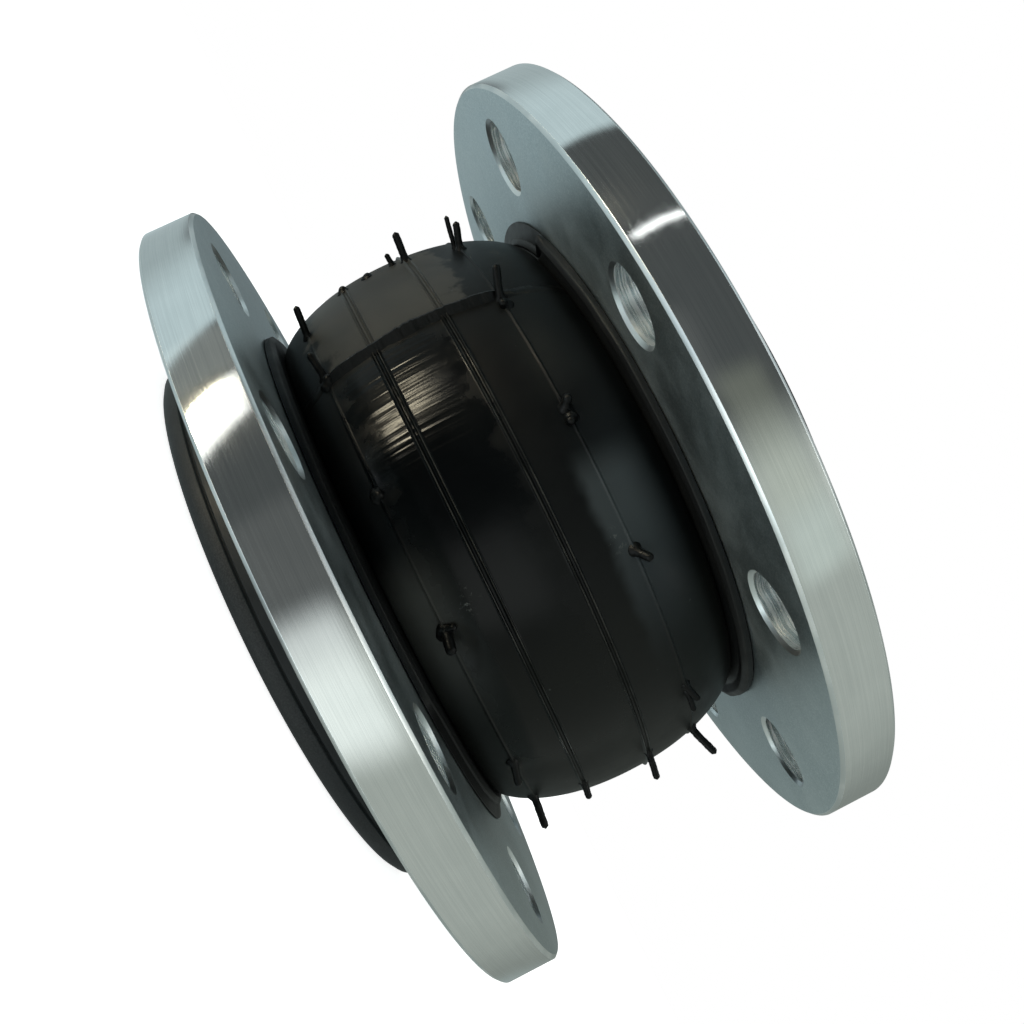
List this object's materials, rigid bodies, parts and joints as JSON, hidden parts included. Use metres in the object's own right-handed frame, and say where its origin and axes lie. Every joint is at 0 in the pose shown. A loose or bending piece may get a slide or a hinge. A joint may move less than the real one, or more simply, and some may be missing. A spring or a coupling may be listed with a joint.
{
  "type": "rubber expansion joint",
  "caption": "Flexible rubber pipe connector with one wide arch, moulded sealing lips and two loose zinc-plated steel flanges that turn on its ends.",
  "frame": {"origin": "on the pipe axis, in the plane of the lower sealing face", "axes": "+Z along the pipe axis from the lower to the upper sealing face; +X is the direction of the lateral travel; +Y is the axis of the angular travel"},
  "size_m": [0.2286, 0.2286, 0.135],
  "materials": {
    "flange_zinc": "turned, bright zinc-plated",
    "moulded_rubber": "semi-gloss moulded EPDM, mould lines and vent whiskers",
    "liner_rubber": "smooth matte liner",
    "filler_rubber": "hard bead filler, matte",
    "nylon_cord": "rubber-dipped nylon tyre cord",
    "bead_wire": "bronze-coated high-tensile wire"
  },
  "bodies": {
    "lower_end": {"lower_sealing_lip": "moulded_rubber", "lower_bead_filler": "filler_rubber", "lower_bead_wire_1": "bead_wire", "lower_bead_wire_2": "bead_wire", "lower_bead_wire_3": "bead_wire", "lower_bead_wire_4": "bead_wire", "lower_bead_wire_5": "bead_wire", "lower_bead_wire_6": "bead_wire"},
    "lower_flange": {"lower_flange": "flange_zinc"},
    "lower_shoulder": {"inner_tube": "liner_rubber"},
    "lower_arch": {"carcass_ply_1": "nylon_cord", "carcass_ply_2": "nylon_cord"},
    "upper_arch": {"carcass_ply_3": "nylon_cord"},
    "upper_shoulder": {"outer_cover": "moulded_rubber"},
    "upper_end": {"upper_sealing_lip": "moulded_rubber", "upper_bead_filler": "filler_rubber", "upper_bead_wire_1": "bead_wire", "upper_bead_wire_2": "bead_wire", "upper_bead_wire_3": "bead_wire", "upper_bead_wire_4": "bead_wire", "upper_bead_wire_5": "bead_wire", "upper_bead_wire_6": "bead_wire"},
    "upper_flange": {"upper_flange": "flange_zinc"}
  },
  "joints": [
    {"name": "lower_flange_swivel", "type": "hinge", "parent": "lower_end", "child": "lower_flange", "pos_m": [0, 0, 0.0215], "axis": [0, 0, 1], "continuous": true},
    {"name": "axial_travel", "type": "slide", "parent": "lower_end", "child": "lower_shoulder", "axis": [0, 0, 1], "range_m": [-0.004, 0.003], "stiffness_N_per_m": 63000, "deforming": ["inner_tube"]},
    {"name": "angular_travel", "type": "hinge", "parent": "lower_shoulder", "child": "lower_arch", "pos_m": [0, 0, 0.04725], "axis": [0, 1, 0], "range_deg": [-5, 5], "stiffness_Nm_per_rad": 170, "deforming": ["carcass_ply_1", "carcass_ply_2"]},
    {"name": "lateral_travel", "type": "slide", "parent": "lower_arch", "child": "upper_arch", "axis": [1, 0, 0], "range_m": [-0.012, 0.012], "stiffness_N_per_m": 30000, "deforming": ["carcass_ply_3"]},
    {"name": "angular_travel_upper", "type": "hinge", "parent": "upper_arch", "child": "upper_shoulder", "pos_m": [0, 0, 0.0795], "axis": [0, 1, 0], "range_deg": [-5, 5], "stiffness_Nm_per_rad": 170, "deforming": ["outer_cover"]},
    {"name": "axial_travel_upper", "type": "slide", "parent": "upper_shoulder", "child": "upper_end", "axis": [0, 0, 1], "range_m": [-0.008, 0.006], "stiffness_N_per_m": 63000},
    {"name": "upper_flange_swivel", "type": "hinge", "parent": "upper_end", "child": "upper_flange", "pos_m": [0, 0, 0.1135], "axis": [0, 0, 1], "continuous": true}
  ],
  "couplings": [
    {"joint": "angular_travel_upper", "follows": "angular_travel", "ratio": 1},
    {"joint": "axial_travel_upper", "follows": "axial_travel", "ratio": 2}
  ]
}
